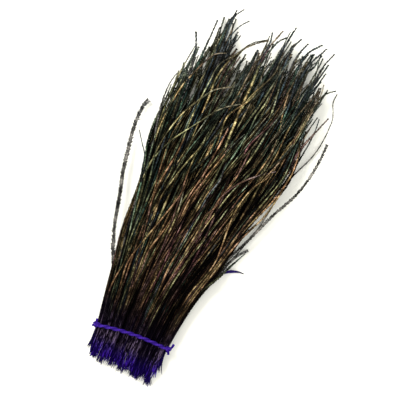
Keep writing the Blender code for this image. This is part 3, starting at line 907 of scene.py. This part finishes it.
def ring_path(stations):
    """The closed route of the thread, as the solid's ring has it but a little higher on the right."""
    low_z = THREAD_RADIUS * (1 + LINK_SWELL)
    shares = np.linspace(-1, 1, RING_POINTS)
    top_z = height(shares, STRING_Y, 1.0) + THREAD_CLEARANCE + low_z
    bow = STRING_BOW * (1 - shares ** 2)
    top = np.stack([across(shares, STRING_Y), CORD_Y + bow + STRING_TILT * shares, top_z], 1)
    centre_z, half = (top_z[-1] + low_z) / 2, (top_z[-1] - low_z) / 2
    turn = np.linspace(math.pi / 2, -math.pi / 2, 9)[1:-1]
    y = np.full(len(turn), CORD_Y)
    right = np.stack([across(1.0, STRING_Y) + RING_END * np.cos(turn), y + STRING_TILT,
                      centre_z + half * np.sin(turn)], 1)
    left = np.stack([across(-1.0, STRING_Y) - RING_END * np.cos(turn), y - STRING_TILT,
                     centre_z - half * np.sin(turn)], 1)
    bottom = np.stack([across(-shares, STRING_Y), CORD_Y - STRING_TILT * shares,
                       np.full(len(shares), low_z)], 1)
    return smooth_path(np.concatenate([top, right, bottom, left, top[:1]]), stations)


# Each knot's middle, and its thread ends as points from there
KNOTS = (
    ((-34.4, CORD_Y - STRING_TILT, 10.1), (
        ((0.0, 0.0, 0.0), (-0.8, -0.6, 0.4), (-1.5, -1.1, 0.0), (-2.2, -1.5, -0.4)),
        ((0.0, 0.0, 0.3), (-0.4, 1.4, 0.6), (-0.7, 2.6, 0.5), (-1.0, 3.6, 0.3)))),
    ((14.2, CORD_Y + STRING_TILT, 10.1), (
        ((0.0, 0.0, 0.0), (1.2, 1.0, 0.5), (1.9, 2.6, 0.2), (2.2, 4.2, -0.3)),
        ((0.0, 0.0, 0.0), (0.6, -1.0, 0.3), (0.9, -2.0, 0.0), (1.1, -3.0, -0.6)))),
)


def make_knots(bunch):
    """A knot at each end of the cord, tied from one ply, and the cut ends that stand out of it."""
    turn = np.linspace(0, 2 * math.pi, KNOT_STATIONS)
    loop = np.stack([np.sin(turn) + 2 * np.sin(2 * turn), np.cos(turn) - 2 * np.cos(2 * turn),
                     -np.sin(3 * turn)], 1) * KNOT_SIZE
    for middle, ends in KNOTS:
        routes = [(loop, KNOT_RADII)] + [(smooth_path(end, KNOT_STATIONS), END_RADII) for end in ends]
        for route, radii in routes:
            blank = Blank(THREAD_SIDES, KNOT_STATIONS - 2)
            width = np.linspace(*radii, KNOT_STATIONS)
            points = bend(blank, route + np.array(middle), np.zeros(KNOT_STATIONS), width, width)
            bunch.add(blank, points, KNOT_LENGTH, phase=0.6)


def make_thread(material):
    """A cord of two plies round the row of butts, twisted so that each turn shows as a slanted link."""
    bunch = Bunch("sewing_thread")
    path = ring_path(CORD_STATIONS)
    length = np.linalg.norm(np.diff(path, axis=0), axis=1).sum()
    place = np.linspace(0, length, CORD_STATIONS)
    untwisted = np.zeros(CORD_STATIONS)
    side, rise = frames_along(path, untwisted)
    blank = Blank(THREAD_SIDES, CORD_STATIONS - 2)
    for ply in (0.0, math.pi):
        angle = 2 * math.pi * place / PLY_PITCH + ply
        centre = path + PLY_OFFSET * (np.cos(angle)[:, None] * side + np.sin(angle)[:, None] * rise)
        swell = PLY_RADIUS * (1 + 0.1 * np.sin(2 * math.pi * place / (PLY_PITCH / 2)))
        bunch.add(blank, bend(blank, centre, untwisted, swell, swell), length, phase=ply)
    make_knots(bunch)
    piece = bunch.build(material)
    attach(piece, "root")
    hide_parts("stitching_thread")


def dyed_finish():
    """A bare quill soaked with dye, in streaks along it."""
    finish = Finish("dyed_butt")
    round_it = finish.read("side") * 1.3 + finish.read("rise") * 0.9
    streaks = finish.noise(round_it + finish.read("reach") * 0.05, 2.4, 3.0).step(0.35, 0.75)
    colour = finish.blend(streaks * 0.7, DYE_DARK, PALE_DYE_AND_HIGHLIGHT)
    finish.set(Base_Color=finish.blend(finish.read("along").step(0.6, 1.0) * 0.6, colour, HERL_DARK),
               Roughness=0.5, Specular_IOR_Level=0.1)
    return finish.material


# The loose butt's run, from under the mass to its tapered end
BUTT_POINTS = ((22.5, -42.8, 1.0), (28.2, -39.4, 1.0), (34.6, -36.0, 0.95), (38.8, -34.9, 0.9),
               (41.4, -34.9, 0.85))
BUTT_STATIONS = 24
BUTT_SIDES = 8
BUTT_FLATNESS = 0.75
BUTT_HALF_WIDTH = 0.95
BUTT_LENGTH = 18.0


def make_loose_butt(material):
    bunch = Bunch("loose_butt")
    path = smooth_path(BUTT_POINTS, BUTT_STATIONS)
    width = BUTT_HALF_WIDTH * mix(1.0, 0.3, eased(np.linspace(-1.4, 1, BUTT_STATIONS)))
    blank = Blank(BUTT_SIDES, BUTT_STATIONS - 2, BUTT_FLATNESS)
    bunch.add(blank, bend(blank, path, np.zeros(BUTT_STATIONS), width, width), BUTT_LENGTH)
    piece = bunch.build(material)
    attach(piece, "root")
    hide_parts("loose_herl_butt")


# The table and the light, in metres
TABLE_HALF_SIZE = 4.0
TABLE_COLOUR = (0.90, 0.893, 0.81)
DAYLIGHT_COLOUR = (1.0, 1.0, 1.0, 1.0)
DAYLIGHT_STRENGTH = 1.35
WINDOW_PLACE = (-0.75, 0.35, 1.0)
WINDOW_SIZE = 0.55
WINDOW_POWER = 16.0
WINDOW_COLOUR = (1.0, 0.985, 0.95)


def make_floor():
    shape = bmesh.new()
    bmesh.ops.create_grid(shape, x_segments=1, y_segments=1, size=TABLE_HALF_SIZE)
    mesh = bpy.data.meshes.new("table")
    shape.to_mesh(mesh)
    shape.free()
    finish = Finish("table")
    finish.set(Base_Color=TABLE_COLOUR, Roughness=0.9, Specular_IOR_Level=0.1)
    mesh.materials.append(finish.material)
    floor = bpy.data.objects.new("table", mesh)
    bpy.context.scene.collection.objects.link(floor)


# The photograph's view, straight down, with the bunch's axis turned clockwise from its upright
VIEW_ROLL_DEG = 22.0
VIEW_CENTRE = (-2.75, -1.1)
VIEW_WIDTH = 256.0
VIEW_HEIGHT = 800.0
SUBJECT_HEIGHT = 10.0
SENSOR_WIDTH = 36.0


def make_camera():
    data = bpy.data.cameras.new("camera")
    data.sensor_width = SENSOR_WIDTH
    data.lens = SENSOR_WIDTH * (VIEW_HEIGHT - SUBJECT_HEIGHT) / VIEW_WIDTH
    data.clip_start = 0.05
    camera = bpy.data.objects.new("camera", data)
    camera.location = Vector((*VIEW_CENTRE, VIEW_HEIGHT)) * MM
    camera.rotation_euler = (0.0, 0.0, math.radians(VIEW_ROLL_DEG))
    bpy.context.scene.collection.objects.link(camera)
    bpy.context.scene.camera = camera


def make_area_light(name, place, size, power, colour):
    data = bpy.data.lights.new(name, "AREA")
    data.shape = "DISK"
    data.size = size
    data.energy = power
    data.color = colour
    light = bpy.data.objects.new(name, data)
    light.location = place
    light.rotation_euler = (-Vector(place)).to_track_quat("-Z", "Y").to_euler()
    bpy.context.scene.collection.objects.link(light)


def make_lights():
    """Soft daylight all round, and a large soft light above the left of the bunch."""
    world = bpy.data.worlds.new("studio")
    world.use_nodes = True
    background = world.node_tree.nodes["Background"]
    background.inputs["Color"].default_value = DAYLIGHT_COLOUR
    background.inputs["Strength"].default_value = DAYLIGHT_STRENGTH
    bpy.context.scene.world = world
    make_area_light("window", WINDOW_PLACE, WINDOW_SIZE, WINDOW_POWER, WINDOW_COLOUR)
    bpy.context.scene.view_settings.view_transform = "Standard"


def main():
    make_camera()
    make_lights()
    make_floor()
    herl = herl_finish()
    thread = thread_finish()
    blanks = [Blank(CORE_SIDES, HERL_STATIONS - 2, CORE_FLATNESS).grow_fringe(BARBULES_A_SIDE)
              for _ in range(BLANK_COUNT)]
    make_mass(blanks, herl)
    make_strays(blanks[0], herl)
    make_thread(thread)
    make_loose_butt(dyed_finish())


main()
